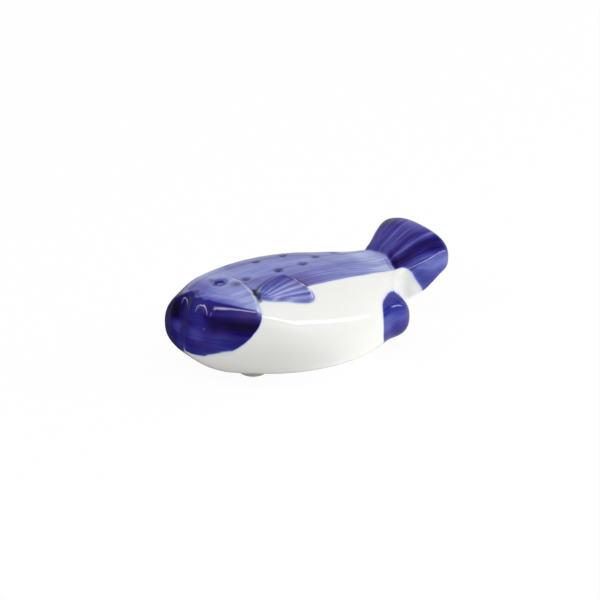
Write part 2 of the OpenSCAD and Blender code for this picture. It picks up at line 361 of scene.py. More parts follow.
# All that is raised or sunk. A fade has its axis, the two places between which it runs, and its
# values before and after them
relief = {
    "upperSide": [("z", 11.5, 14.5, 0, 1)],
    "gill": {"middle": (2.0, 1.0), "radii": (12.5, 18.0), "height": 0.6, "edge": (-0.1, 0.6),
             "fades": [("y", 5, 11, 1, 0.4)]},
    "eye": {"middle": (10.9, 2.8), "radius": 1.1, "height": 0.7, "socketRadius": 2.2, "socketDepth": 0.45},
    "spots": {"radius": 0.95, "stretch": 1.3, "depth": 0.45, "fades": [("y", 9, 11, 1, 0.4)],
              "places": [(16.2, 1.4), (23, 8), (23.9, 1.1), (29.8, 8.2), (30.2, 1.7), (35.2, 4.3), (41.2, 6.1),
                         (18.3, 11.6), (25.6, 12.9), (33.6, 11.2)]},
    "fin": {"heart": (11.3, -8.4), "rayPlace": 3.3, "rayTurn": 9.6, "height": 0.7, "edge": (-0.1, 0.5),
            "rayDepth": 0.22, "rayLeast": 0.35, "rayInside": (0.35, 1.1), "rayFrom": (3.8, 5.6),
            "box": {"x": (11, 28), "y": (-99, 2), "z": (12, 99)},
            "outline": [(14.0, -6.2), (14.1, -7.4), (15.4, -8.6), (17.1, -9.6), (18.7, -10.6), (20, -11.6),
                        (21.4, -12.3), (22.6, -12.3), (23.5, -11.7), (24.1, -10.6), (24.4, -9.1), (24.3, -7.2),
                        (24.1, -5), (23.9, -3.4), (23.2, -2.1), (21.9, -1.8), (20.2, -2.2), (18.2, -2.9),
                        (16.3, -3.8), (14.8, -4.9)]},
    "tail": {"heart": (36.0, 0.7), "rayTurn": 6, "rayDepth": 0.05, "waver": 1.2, "waverTurn": 0.37,
             "rayEnd": (22.5, 24), "fades": [("x", 50, 52, 0, 1)]},
    # Soft lines along the skin: widths and heights of their profile, and the box that holds them
    "lines": {
        "tailRoot": {
            "line": [(49.3, 6.5), (49.5, 4.6), (49.9, 2.6), (50.2, 1), (50.1, -0.4), (49.5, -2.3), (48.8, -3.9),
                     (48.3, -5.3), (47.7, -6.7), (46.9, -8.3)],
            "box": {"x": (44, 53), "z": (9, 99)}, "profile": [(1.1, -0.5)],
            "fades": [("y", -6.5, -3.5, 0.2, 1)]},
        "shoulder": {
            "line": [(4.8, -2.5), (6.1, -4.2), (7.7, -6.2), (9.3, -8.1), (11.4, -10.6), (12.6, -11.7),
                     (14.5, -13.2), (17.5, -15.3)],
            "box": {"x": (-99, 20), "y": (-99, 0), "z": (11, 99)}, "profile": [(0.9, 0.06), (2.8, 0.52)],
            "fades": [("x", 3.8, 5.2, 0, 1), ("x", 12, 18, 1, 0)]},
        "tailRidge": {
            "line": [(46.8, -7.2, 10.3), (48.2, -7.3, 10.9), (50.6, -7.7, 11.9), (52.5, -8.5, 13.4),
                     (54.5, -9.2, 14.5), (57.6, -9.6, 15.7)],
            "box": {"x": (46, 99), "y": (-99, -3)}, "profile": [(1.4, 0.1)], "fades": []},
        "lipValley": {
            "line": [(5.0, 0.2, 15.8), (4.4, -1.6, 15.7), (3.7, -2.9, 14.9), (3.0, -3.8, 13.6),
                     (2.6, -4.2, 12.2)],
            "box": {"x": (-99, 8), "y": (-99, 3), "z": (9, 99)}, "profile": [(1.3, -0.22)], "fades": []},
        "mouth": {
            "line": [(5.0, 2.6, 15.8), (3.9, 2.3, 15.3), (2.8, 1.5, 14.7), (1.9, 0.8, 13.6), (1.3, 0.4, 12.3),
                     (1.0, 0.1, 10.8), (0.8, 0, 9), (0.7, 0, 7), (1.6, 0, 4)],
            "box": {"x": (-99, 8), "z": (3, 99)}, "profile": [(1.1, -0.75)],
            "fades": [("z", 4.5, 8, 0, 1)]},
    },
    "baseCorner": 0.3, "snoutCorner": 0.1, "snoutStart": 0.02,
}


def bump(distance, radius):
    return np.clip(1 - (distance / radius) ** 2, 0, 1) ** 1.5


def onAxis(co, axis):
    return co[:, "xyz".index(axis)]


def faded(co, fades):
    share = np.ones(len(co))
    for axis, low, high, before, after in fades:
        share = share * lerp(before, after, step(onAxis(co, axis), low, high))
    return share


# Values of the places in a box, and one far value for all others
def inBox(co, box, compute, far):
    inside = np.ones(len(co), bool)
    for axis, (low, high) in box.items():
        inside &= (onAxis(co, axis) > low) & (onAxis(co, axis) < high)
    values = np.full(len(co), float(far))
    values[inside] = compute(co[inside])
    return values


# A line through the points with three more between each two of them
def smoothLine(points, closed=False):
    p = np.array(points, float)
    count = len(p)
    made = []
    for i in range(count if closed else count - 1):
        if closed:
            a, b, c, d = p[i - 1], p[i], p[(i + 1) % count], p[(i + 2) % count]
        else:
            a, b, c, d = p[max(i - 1, 0)], p[i], p[i + 1], p[min(i + 2, count - 1)]
        for t in (0, 0.25, 0.5, 0.75):
            made.append(0.5 * (2 * b + (c - a) * t + (2 * a - 5 * b + 4 * c - d) * t * t
                               + (3 * b - 3 * c + d - a) * t ** 3))
    if not closed:
        made.append(p[-1])
    return np.array(made)


# Distance inside a closed outline, below zero outside
def insideOutline(points, places):
    ring = smoothLine(points, closed=True)
    ring = np.vstack([ring, ring[:1]])
    x, y = places.T
    odd = np.zeros(len(x), bool)
    for (ax, ay), (bx, by) in zip(ring[:-1], ring[1:]):
        if ay != by:
            odd ^= ((ay > y) != (by > y)) & (x < ax + (y - ay) / (by - ay) * (bx - ax))
    return np.where(odd, 1, -1) * pathDistance(ring, places)


# Distance to a soft line, seen from above where the line has no heights
def awayFrom(points, co, box):
    line = smoothLine(points)
    return inBox(co, box, lambda near: pathDistance(line, near[:, :line.shape[1]]), 9)


def insideFin(co):
    fin = relief["fin"]
    return inBox(co, fin["box"], lambda near: insideOutline(fin["outline"], near[:, :2]), -9)


def polar(heart, x, y):
    return np.hypot(x - heart[0], y - heart[1]), np.degrees(np.arctan2(y - heart[1], x - heart[0]))


def finRay(angle):
    return 0.5 + 0.5 * np.cos((angle - relief["fin"]["rayPlace"]) / relief["fin"]["rayTurn"] * 2 * math.pi)


# How far outside the gill cover's edge a place is, seen from above
def pastGill(x, y):
    (cx, cy), (rx, ry) = relief["gill"]["middle"], relief["gill"]["radii"]
    return (np.sqrt(((x - cx) / rx) ** 2 + ((y - cy) / ry) ** 2) - 1) * rx


def onSpots(x, y, radius):
    stretch = relief["spots"]["stretch"]
    bumps = [bump(np.hypot((x - sx) / stretch, y - sy), radius) for sx, sy in relief["spots"]["places"]]
    return np.max(bumps, axis=0)


def addRelief(obj):
    co = readPlaces(obj.data)
    x, y, z = co.T
    gill, eye, spots, fin, tail = [relief[name] for name in ("gill", "eye", "spots", "fin", "tail")]
    cover = gill["height"] * step(-pastGill(x, y), *gill["edge"]) * faded(co, gill["fades"])
    inside = insideFin(co)
    radius, angle = polar(fin["heart"], x, y)
    sunk = step(inside, *fin["rayInside"]) * step(radius, *fin["rayFrom"])
    sunk = sunk * lerp(fin["rayLeast"], 1, finRay(angle))
    blade = step(inside, *fin["edge"]) * (fin["height"] - fin["rayDepth"] * sunk)
    lift = np.maximum(cover, blade)
    eyeAway = np.hypot(x - eye["middle"][0], y - eye["middle"][1])
    lift -= eye["socketDepth"] * bump(eyeAway, eye["socketRadius"])
    lift += eye["height"] * np.sqrt(np.clip(1 - (eyeAway / eye["radius"]) ** 2, 0, 1))
    lift -= spots["depth"] * faded(co, spots["fades"]) * onSpots(x, y, spots["radius"])
    reach, turn = polar(tail["heart"], x, y)
    waver = tail["waver"] * np.sin(turn * tail["waverTurn"])
    tailRay = 0.5 + 0.5 * np.cos(turn / tail["rayTurn"] * 2 * math.pi + waver)
    lift -= tail["rayDepth"] * tailRay * faded(co, tail["fades"]) * (1 - step(reach, *tail["rayEnd"]))
    push = np.zeros(len(x))
    for mark in relief["lines"].values():
        away = awayFrom(mark["line"], co, mark["box"])
        push += faded(co, mark["fades"]) * sum(height * bump(away, width) for width, height in mark["profile"])
    made = co + readVectors(obj.data.vertex_normals, "vector") * push[:, None]
    made[:, 2] += faded(co, relief["upperSide"]) * lift
    made[:, 2] = softMin(made[:, 2], fish["base"], -relief["baseCorner"])
    made[:, 0] = softMin(made[:, 0], relief["snoutStart"], -relief["snoutCorner"])
    writePlaces(obj.data, made)


addRelief(porcelain)


# The vent hole in the base, with its edges kept crisp
def cutVent(obj):
    bm = bmesh.new()
    deep = fish["ventDepth"] + fish["base"]
    radius = fish["ventWidth"] / 2
    bmesh.ops.create_cone(bm, cap_ends=True, segments=fish["ventSides"], radius1=radius, radius2=radius,
                          depth=2 * deep)
    bmesh.ops.translate(bm, verts=bm.verts, vec=(fish["ventPlace"], 0, fish["base"] + fish["ventDepth"] - deep))
    cutter = newMesh("ventCutter", bm)
    modifier = obj.modifiers.new("vent", "BOOLEAN")
    modifier.object = cutter
    modifier.operation = "DIFFERENCE"
    modifier.solver = "EXACT"
    mesh = bpy.data.meshes.new_from_object(obj.evaluated_get(bpy.context.evaluated_depsgraph_get()))
    obj.modifiers.clear()
    obj.data = mesh
    bpy.data.objects.remove(cutter)
    bm = bmesh.new()
    bm.from_mesh(mesh)
    for edge in bm.edges:
        if edge.is_manifold and edge.calc_face_angle() > fish["crispAngle"]:
            edge.smooth = False
    bm.to_mesh(mesh)
    bm.free()


cutVent(porcelain)
print("stage: paint")

# Where the blue lies and how deep it is. A change has an amount, a patch of middles and widths
# on its axes, and fades
paint = {
    # Edges of the blue from under the snout to the tail, on the belly's side and on the back's
    "bellyEdge": [
        (0.45, -0.3, 5), (0.4, -1.9, 5.5), (0.6, -2.7, 5.6), (1.0, -3.9, 5.8), (1.7, -5.2, 6.1),
        (2.2, -6.2, 6.5), (2.8, -7.1, 7), (3.9, -8.5, 7.6), (5.1, -9.8, 8), (5.9, -10.4, 8.4),
        (6.7, -11, 9.1), (7.5, -11.5, 9.8), (8.4, -11.9, 10.7), (9.3, -12.1, 11.7), (10.1, -12, 12.5),
        (10.9, -11.7, 13.4), (11.6, -10.9, 14.2), (12.2, -9.8, 14.9), (12.8, -8.6, 15.6), (14, -7.6, 15.9),
        (18, -8.3, 15.9), (23.3, -8.2, 16.2), (26.2, -7.7, 15.6), (29.2, -7.7, 15.4), (33.9, -7.5, 14.9),
        (39, -6.9, 14), (43.2, -6.4, 13.2), (46, -6.2, 12.7), (48.2, -5.8, 12.4), (49.4, -5.9, 12.4),
        (50, -6.3, 12.4), (50.5, -7.4, 12.1), (51, -8.4, 11.1), (51.7, -9, 9.7), (52.6, -8.8, 8.5),
        (54.3, -4, 8.4), (54.8, 0.1, 8.4)],
    "backEdge": [
        (0.45, -0.3, 5), (0.8, 1.5, 3.7), (1.2, 4, 2.9), (2.9, 9.4, 3.2), (8, 14.2, 3.9), (16, 17.2, 4.6),
        (26, 18, 4.6), (36, 15.8, 4.6), (42, 12.5, 4.4), (47, 9, 6.5), (51.5, 8.5, 8), (53.6, 5, 8.4),
        (54.8, 0.1, 8.4)],
    # The anal fin's blue is an outline seen from the side
    "analEdge": [
        (43.0, 11.2), (42.3, 11.5), (40.3, 11.6), (38.6, 11.4), (37.6, 11.0), (36.8, 10.1), (36.1, 8.4),
        (35.9, 6.1), (36.4, 4), (37.2, 1), (49, 1), (48.6, 6), (46.2, 9), (43.7, 10.8), (43.2, 11.5)],
    "analBox": {"x": (34, 50), "y": (-99, -7)},
    # Where the dark face ends: y of the cheek's edge by x, and x of the brow's edge by y
    "cheekEdge": [(4.2, -1.2), (4.8, -2.2), (6.3, -4.6), (8, -6.7), (9.5, -8.7), (11.2, -10.6), (14.4, -13.7)],
    "cheekFades": [("x", 13.5, 15, 1, 0)],
    "browEdge": [(-3, 4.4), (-1.2, 4.3), (0.2, 4.8), (1.4, 5.1), (2.8, 5.0), (5.4, 4.6), (7, 4.5)],
    # Where each part's edge begins and ends
    "edges": {"fin": (-0.1, 0.1), "tail": (-0.2, 0.5), "tailSide": (-0.3, 0.5), "cheek": (-0.25, 0.45),
              "snout": (-0.35, 0.35), "gill": (0.2, 0.8), "gutter": (0, 0.6)},
    # The fin's blue spreads past its outline; the roof's fall counts for less in the run across
    "finSpread": 0.2, "ridgeLean": 0.6, "roofRun": 0.75, "samples": 400,
    # Line below which the fin shows no painted highlight: a place on it and its slope
    "finLower": (13.9, -6.4, -0.62), "finLowerFade": (0.3, 1.2),
    # Depth of each part's blue and its changes
    "tone": {"back": 0.49, "face": 0.75, "tail": 0.0, "tailSide": 0.45, "fin": 0.48, "analFin": 0.66},
    "toneChanges": {
        "back": [(-0.22, {}, [("x", 5.5, 11, 0, 1)]), (0.15, {}, [("x", 13, 18, 0, 1)]),
                 (0.1, {}, [("y", 1, 4, 0, 1), ("x", 8, 12, 1, 0)]),
                 (0.1, {"x": (25.5, 5.25), "y": (-5, 3.5)}, []),
                 (-0.06, {"y": (4, 5)}, [("x", 14, 18, 0, 1)]), (-0.16, {}, [("x", 37, 47, 0, 1)])],
        "face": [(-0.05, {}, [("z", 8.5, 11, 1, 0)]),
                 (0.24, {"x": (1.2, 2.8), "y": (3.4, 2.8), "z": (13, 2.8)}, []),
                 (-0.2, {"x": (0.3, 2), "y": (2, 2), "z": (10.4, 2)}, []),
                 (0.1, {}, [("y", 0.8, 2.2, 0, 1), ("x", 3, 4, 1, 0)]),
                 (-0.14, {"x": (1.2, 2.4), "y": (-3.4, 2.4), "z": (10.4, 2.4)}, [])],
        "cheek": [(0.25, {"z": (12.6, 1.9)}, [("x", 2.3, 3.8, 0, 1)])],
        "tail": [(-0.16, {}, [("x", 56.5, 60.5, 0, 1)])],
        "tailSide": [(0.13, {}, [("z", 10, 13.5, 1, 0)])],
        "fin": [(0.14, {}, [("y", -7, -3, 0, 1)])],
        "analFin": [(-0.1, {"z": (8, 2)}, []), (0.07, {}, [("z", 5, 7, 1, 0)])],
    },
    # More depth on the tail by the turn about its heart
    "tailStreaks": [
        (-34, 0.6), (-27, 0.62), (-23, 0.78), (-19, 0.96), (-16, 0.86), (-13.5, 0.66), (-11.3, 0.57),
        (-9, 0.64), (-6.6, 0.76), (-4, 0.66), (0, 0.56), (3, 0.62), (7, 0.54), (10, 0.6), (14, 0.62),
        (18, 0.66), (24, 0.6), (34, 0.6)],
    "tailWaver": 0.8, "tailWaverPerMm": 0.9,
    "rootTone": 0.22, "rootRadius": 1.4, "rootFades": [("y", -2, 1, 1, 0)],
    "finStreak": 0.24, "finStreakFrom": (3.8, 5), "finStreakTurn": (14, 26), "finStreakLeast": 0.4,
    "pupil": 0.76, "iris": 0.44, "pupilEdge": (0.8, 1.2), "irisEdge": (1.4, 2.1),
    # How strong the brush streaks are, and where single brush lines show
    "streaks": {"fin": 0.6, "tailSide": 0.7, "tail": 1.6, "face": 0.7, "analFin": 0.8, "back": 0.5},
    "streakChanges": [(0.4, {}, [("x", 12, 15, 0, 1)])],
    "lineFades": [("x", 24, 28, 0, 1), ("x", 41, 46, 1, 0), ("y", -3, 0, 1, 0), ("y", -9, -8, 0, 1)],
    "violet": {
        "back": [(0.45, {"x": (17, 6), "y": (-1, 4)}, []), (0.8, {"x": (25.5, 6.75), "y": (-5.5, 4.5)}, [])],
        "tail": [(0.6, {}, [("y", -6, 1, 0, 1)])],
        # On the cheek's upper side the violet is a painted reflection
        "cheek": [(0.35, {}, [("z", 12.5, 14.5, 0, 1)])],
        "analFin": [(0.35, {}, [("z", 10, 11.5, 0, 1)])],
    },
    # Scale of the strokes across each part, and a start that keeps the parts' strokes apart
    "finStrokes": (0.16, 40), "tailStrokes": (0.24, 80), "sideStrokes": (0.55, 20), "sideAlong": 1.6,
    # Darkening in the hollows, partly glaze pooled there and partly painted shade: depths, then middles and
    # widths
    "poolsAndShade": {"spots": 0.8, "eye": 0.65, "gill": 0.25, "gutter": 0.8, "finRoot": 0.75, "tail": 0.55,
              "mouth": 0.9},
    "spotRadius": 1.25, "creaseRadius": 0.65, "tailPool": {"x": (57.2, 3.2), "y": (7.8, 3.2)},
    "gutter": (-0.5, 0.38), "gillPoolAndShade": (0.5, 0.35), "finRoot": (0.6, 0.65),
    "finRootFades": [("y", -3.8, -2.6, 1, 0), ("y", -8.3, -7.7, 0, 1)],
    # Smudges by the eye: places from its middle and widths; then a line of painted shade in the socket, on the
    # side towards the camera
    "smudges": [(2.0, -3.1, 1.0, 1.1), (-0.7, 2.2, 0.7, 0.7)],
    "eyeShadeLine": (1.5, 0.3), "eyeShadeDepth": 0.8, "eyeShadeTowards": (-0.574, -0.819), "eyeShadeFade": (-0.3, 0.6),
    # Pale rims painted as highlights along the gill's edge, the fin's edge and beside the mouth's crease
    "gillHighlight": (-0.2, 0.24), "gillHighlightWider": 0.1, "gillHighlightWiderFrom": (4, 9),
    "gillHighlightFades": [("y", -9, -5, 0.5, 1), ("y", 4, 8, 1, 0.15)],
    "finHighlight": (0.3, 0.25), "finHighlightDepth": 0.9, "finHighlightFrom": 4,
    "lipHighlightLine": [
        (4.6, 1.4, 15.6), (3.6, 1.2, 15.1), (2.7, 0.5, 14.2), (1.9, -0.4, 13), (1.3, -0.7, 11.5),
        (0.8, -0.9, 10), (0.5, -0.9, 8), (0.4, -0.7, 6.3), (0.6, -0.5, 5)],
    "lipHighlightRadius": 0.55, "lipHighlightDepth": 0.95, "footHeight": 0.12,
}


def onPatch(co, patch):
    square = sum(((onAxis(co, axis) - middle) / width) ** 2 for axis, (middle, width) in patch.items())
    return np.clip(1 - square, 0, 1) ** 1.5


def changed(co, changes):
    return sum(amount * onPatch(co, patch) * faded(co, fades) for amount, patch, fades in changes)


def bell(value, middle, width):
    return np.exp(-((value - middle) / width) ** 2)


def tableAt(table, x):
    places, values = np.array(table, float).T
    return np.interp(x, places, values)


# Runs along the skin: from the snout, and round the ring from the crown towards each side
def skinRuns(x, y, z):
    fine = closerAtEnds(paint["samples"])
    size = (sideReach(fine, 1.0) + sideReach(fine, -1.0)) / 2
    run = np.concatenate([[0], np.cumsum(np.hypot(np.diff(fine), np.diff(size)))])
    level = widestLevel(x)
    reach = np.maximum(sideReach(x, y), 1e-3)
    roof = np.maximum(roofHeight(x), 1e-3)
    above = z >= level
    over = np.where(above, np.minimum(np.abs(y), reach), reach)
    fall = paint["roofRun"]
    down = np.where(above, fall * np.clip(roof + level - z, 0, roof), fall * roof + level - z)
    under = np.where(above, 0, np.clip(reach - np.abs(y), 0, reach))
    return np.interp(x, fine, run), np.sign(y + 1e-9) * (over + down + under)


# Distance inside the blue of one side; sign is -1 on the belly's side and 1 on the back's
def paintedSide(name, sign, along, across):
    ex, ey, ez = np.array(paint[name], float).T
    edgeAlong, edgeAcross = skinRuns(ex, np.where(np.abs(ey) < 1, sign * 0.01, ey), ez)
    line = smoothLine(np.stack([edgeAlong, edgeAcross], 1))
    limit = np.interp(along, line[:, 0], np.abs(line[:, 1]), left=99, right=99)
    away = pathDistance(line, np.stack([along, across], 1))
    signed = np.where(np.abs(across) < limit, away, -away)
    return np.where(sign * across < 0, np.maximum(away, 0.5), signed)


# Where each place lies: runs and distances, turns, and its shares of the parts
def studySkin(co):
    x, y, z = co.T
    skin = SimpleNamespace(co=co, x=x, y=y, z=z)
    skin.along, skin.across = skinRuns(x, y, z)
    skin.body = np.minimum(paintedSide("bellyEdge", -1, skin.along, skin.across),
                           paintedSide("backEdge", 1, skin.along, skin.across))
    skin.fin = insideFin(co)
    skin.anal = inBox(co, paint["analBox"], lambda near: insideOutline(paint["analEdge"], near[:, [0, 2]]), -9)
    skin.finReach, skin.finTurn = polar(relief["fin"]["heart"], x, y)
    skin.tailReach, skin.tailTurn = polar(relief["tail"]["heart"], x, y)
    skin.eyeX, skin.eyeY = x - relief["eye"]["middle"][0], y - relief["eye"]["middle"][1]
    skin.eyeAway = np.hypot(skin.eyeX, skin.eyeY)
    skin.pastGill = pastGill(x, y)
    edges = paint["edges"]
    skin.onFin = step(skin.fin, *edges["fin"])
    skin.onAnal = (skin.anal > 0) * 1.0
    root = relief["lines"]["tailRoot"]
    skin.rootAway = awayFrom(root["line"], co, root["box"])
    skin.onTail = step(x - tableAt(smoothLine(root["line"])[::-1, ::-1], y), *edges["tail"])
    ridge = smoothLine(relief["lines"]["tailRidge"]["line"])
    below = tableAt(ridge[:, :2], x) - y + paint["ridgeLean"] * (tableAt(ridge[:, [0, 2]], x) - z)
    skin.onSide = skin.onTail * step(below, *edges["tailSide"]) * (y < 0)
    skin.cheek = step(tableAt(paint["cheekEdge"], x) - y, *edges["cheek"]) * faded(co, paint["cheekFades"])
    skin.face = np.maximum(skin.cheek, 1 - step(x - tableAt(paint["browEdge"], y), *edges["snout"]))
    skin.upper = faded(co, relief["upperSide"])
    lowerX, lowerY, slope = paint["finLower"]
    skin.offFinLower = step(y - lowerY - slope * (x - lowerX), *paint["finLowerFade"])
    skin.gillShows = step(skin.body, *edges["gill"]) * (1 - skin.onFin)
    return skin


def partTone(skin, part):
    return paint["tone"][part] + changed(skin.co, paint["toneChanges"][part])


# Depth of the blue, from 0 for white to 1 for nearly black
def toneOf(skin):
    face = partTone(skin, "face") + skin.cheek * changed(skin.co, paint["toneChanges"]["cheek"])
    tone = lerp(partTone(skin, "back"), face, skin.face)
    waver = paint["tailWaver"] * np.sin(skin.tailReach * paint["tailWaverPerMm"])
    tail = partTone(skin, "tail") + tableAt(paint["tailStreaks"], skin.tailTurn + waver)
    tone = lerp(tone, tail, skin.onTail)
    root = bump(skin.rootAway, paint["rootRadius"]) * faded(skin.co, paint["rootFades"])
    tone = tone + paint["rootTone"] * skin.onTail * root
    tone = lerp(tone, partTone(skin, "tailSide"), skin.onSide)
    streak = paint["finStreak"] * finRay(skin.finTurn) * step(skin.finReach, *paint["finStreakFrom"])
    streak = streak * lerp(1, paint["finStreakLeast"], step(skin.finTurn, *paint["finStreakTurn"]))
    tone = lerp(tone, partTone(skin, "fin") - streak, skin.onFin)
    tone = lerp(tone, partTone(skin, "analFin"), skin.onAnal)
    eye = lerp(paint["pupil"], paint["iris"], step(skin.eyeAway, *paint["pupilEdge"]))
    return lerp(tone, eye, 1 - step(skin.eyeAway, *paint["irisEdge"]))


def streaksOf(skin):
    parts = {"fin": skin.onFin, "tailSide": skin.onSide, "tail": skin.onTail, "face": skin.face,
             "analFin": skin.onAnal}
    back = paint["streaks"]["back"] + changed(skin.co, paint["streakChanges"])
    return np.select([share > 0.5 for share in parts.values()], [paint["streaks"][name] for name in parts], back)


# Violet in the glaze; on the cheek's upper side it is a painted reflection
def violetOf(skin):
    shares = {"back": 1, "tail": (1 - skin.onSide) * skin.onTail, "cheek": skin.cheek, "analFin": skin.onAnal}
    total = sum(share * changed(skin.co, paint["violet"][part]) for part, share in shares.items())
    return np.clip(total, 0, 1)


# Strokes fan out on the fin and tail, run level on the sides and follow the skin on the back
def strokesOf(skin):
    onSides = (skin.face > 0.5) | (skin.onSide > 0.5) | (skin.anal > 0)
    regions = [skin.onFin > 0.5, (skin.onTail > 0.5) & (skin.onSide < 0.5), onSides]
    crossings = []
    for name, values in (("finStrokes", skin.finTurn), ("tailStrokes", skin.tailTurn), ("sideStrokes", skin.z)):
        scale, start = paint[name]
        crossings.append(values * scale + start)
    along = np.select(regions, [skin.finReach, skin.tailReach, skin.x * paint["sideAlong"]], skin.along)
    return along, np.select(regions, crossings, skin.across)


# Dark grey in the hollows: partly glaze pooled there, partly painted shade
def poolAndShadeOf(skin):
    depth = paint["poolsAndShade"]
    eye = sum(bell(skin.eyeX, sx, wx) * bell(skin.eyeY, sy, wy) for sx, sy, wx, wy in paint["smudges"])
    # Painted shade in the eye's socket, on its side towards the camera
    tx, ty = paint["eyeShadeTowards"]
    towards = (tx * skin.eyeX + ty * skin.eyeY) / np.maximum(skin.eyeAway, 0.1)
    eyeShadeLine = bell(skin.eyeAway, *paint["eyeShadeLine"]) * step(towards, *paint["eyeShadeFade"])
    eye = eye + paint["eyeShadeDepth"] * eyeShadeLine
    gutter = bell(skin.fin, *paint["gutter"]) * skin.offFinLower * step(skin.body, *paint["edges"]["gutter"])
    gill = bell(skin.pastGill, *paint["gillPoolAndShade"]) * skin.gillShows
    rootMiddle, rootWidth = paint["finRoot"]
    finRoot = bump(skin.pastGill - rootMiddle, rootWidth) * faded(skin.co, paint["finRootFades"])
    pool = depth["spots"] * onSpots(skin.x, skin.y, paint["spotRadius"]) + depth["eye"] * eye
    pool = skin.upper * (pool + depth["gill"] * gill + depth["gutter"] * gutter + depth["finRoot"] * finRoot)
    tail = depth["tail"] * skin.onTail * onPatch(skin.co, paint["tailPool"])
    mouth = relief["lines"]["mouth"]
    crease = depth["mouth"] * bump(awayFrom(mouth["line"], skin.co, mouth["box"]), paint["creaseRadius"])
    return np.clip(np.maximum(np.maximum(pool, tail), crease), 0, 1)


# Painted highlights: paler blue along the gill's and fin's edges and beside the mouth's crease
def paintedHighlightOf(skin):
    middle, width = paint["gillHighlight"]
    width = width + paint["gillHighlightWider"] * step(skin.y, *paint["gillHighlightWiderFrom"])
    gill = bell(skin.pastGill, middle, width) * skin.gillShows * faded(skin.co, paint["gillHighlightFades"])
    fin = bell(skin.fin, *paint["finHighlight"]) * skin.offFinLower * (skin.finReach > paint["finHighlightFrom"])
    lip = bump(awayFrom(paint["lipHighlightLine"], skin.co, relief["lines"]["mouth"]["box"]), paint["lipHighlightRadius"])
    return np.clip(skin.upper * (gill + paint["finHighlightDepth"] * fin) + paint["lipHighlightDepth"] * lip, 0, 1)


def markPaint(obj):
    skin = studySkin(readPlaces(obj.data))
    strokeAlong, strokeAcross = strokesOf(skin)
    marks = {
        "paintEdge": np.maximum(np.maximum(skin.body, skin.fin + paint["finSpread"]), skin.anal),
        "tone": toneOf(skin), "streaks": streaksOf(skin), "lines": faded(skin.co, paint["lineFades"]),
        "violet": violetOf(skin), "strokeAlong": strokeAlong, "strokeAcross": strokeAcross,
        "pool": poolAndShadeOf(skin), "rim": paintedHighlightOf(skin),
        "foot": 1 - step(skin.z, fish["base"], fish["base"] + paint["footHeight"]),
    }
    for name, values in marks.items():
        setAttribute(obj.data, name, values)


markPaint(porcelain)


# From the snout's frame in millimetres to the solid's in metres
def place(obj):
    writePlaces(obj.data, (readPlaces(obj.data) + np.array([-midX, midY, 0])) * mm)


place(porcelain)
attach(porcelain, "root")
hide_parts("porcelain_body")
print("stage: materials")


# A shader value; sums with it add Math nodes
class Value:
    def __init__(self, shader, socket):
        self.shader, self.socket = shader, socket

    def maths(self, operation, *others, swapped=False):
        values = [self, *others][::-1] if swapped else [self, *others]
        return self.shader.node("ShaderNodeMath", {"operation": operation}, dict(enumerate(values)))

    def __add__(self, other):
        return self.maths("ADD", other)

    def __sub__(self, other):
        return self.maths("SUBTRACT", other)

    def __rsub__(self, other):
        return self.maths("SUBTRACT", other, swapped=True)

    def __mul__(self, other):
        return self.maths("MULTIPLY", other)

    def most(self, other):
        return self.maths("MAXIMUM", other)

    __radd__, __rmul__ = __add__, __mul__


class Shader:
    def __init__(self, owner):
        self.owner = owner
        owner.use_nodes = True
        self.tree = owner.node_tree
        self.tree.nodes.clear()

    # Settings are set first; the one named stops is a ramp's list of positions and colours
    def node(self, kind, settings=None, values=None, out=0):
        made = self.tree.nodes.new(kind)
        for key, value in (settings or {}).items():
            if key == "stops":
                ramp = made.color_ramp
                while len(ramp.elements) < len(value):
                    ramp.elements.new(0.5)
                for element, (position, colour) in zip(ramp.elements, value):
                    element.position, element.color = position, (*colour, 1)
            else:
                setattr(made, key, value)
        for key, value in (values or {}).items():
            if isinstance(value, Value):
                self.tree.links.new(value.socket, made.inputs[key])
            else:
                made.inputs[key].default_value = value
        return Value(self, made.outputs[out])

    def attribute(self, name):
        return self.node("ShaderNodeAttribute", {"attribute_name": name}, out="Fac")

    def objectPlace(self):
        return self.node("ShaderNodeTexCoord", out="Object")

    def objectAxis(self, axis):
        return self.node("ShaderNodeSeparateXYZ", {}, {"Vector": self.objectPlace()}, out=axis)

    def ray(self, kind):
        return self.node("ShaderNodeLightPath", out="Is %s Ray" % kind)

    def noise(self, at, scale, detail=2.0, roughness=0.5):
        return self.node("ShaderNodeTexNoise", {"noise_dimensions": "3D"},
                         {"Vector": at, "Scale": scale, "Detail": detail, "Roughness": roughness}, out="Fac")

    # Noise drawn out along the brush's strokes
    def brush(self, along, across, layer, detail, roughness):
        at = self.node("ShaderNodeCombineXYZ", {}, {"X": along, "Y": across, "Z": layer})
        return self.noise(at, 1.0, detail, roughness)

    def smooth(self, value, low, high, to=(0.0, 1.0)):
        return self.node("ShaderNodeMapRange", {"interpolation_type": "SMOOTHSTEP"},
                         {"Value": value, "From Min": low, "From Max": high, "To Min": to[0], "To Max": to[1]})

    def mix(self, share, a, b):
        return self.node("ShaderNodeMix", {"data_type": "RGBA"}, {0: share, 6: a, 7: b}, out=2)

    def mixShader(self, share, a, b):
        return self.node("ShaderNodeMixShader", {}, {0: share, 1: a, 2: b})

    def glow(self, strength):
        return self.node("ShaderNodeEmission", {}, {"Color": (1, 1, 1, 1), "Strength": strength})

    def output(self, surface, kind="ShaderNodeOutputMaterial"):
        made = self.tree.nodes.new(kind)
        self.tree.links.new(surface.socket, made.inputs["Surface"])


def linear(red, green, blue):
    return tuple(((c / 255 + 0.055) / 1.055) ** 2.4 if c > 10 else c / 255 / 12.92 for c in (red, green, blue))


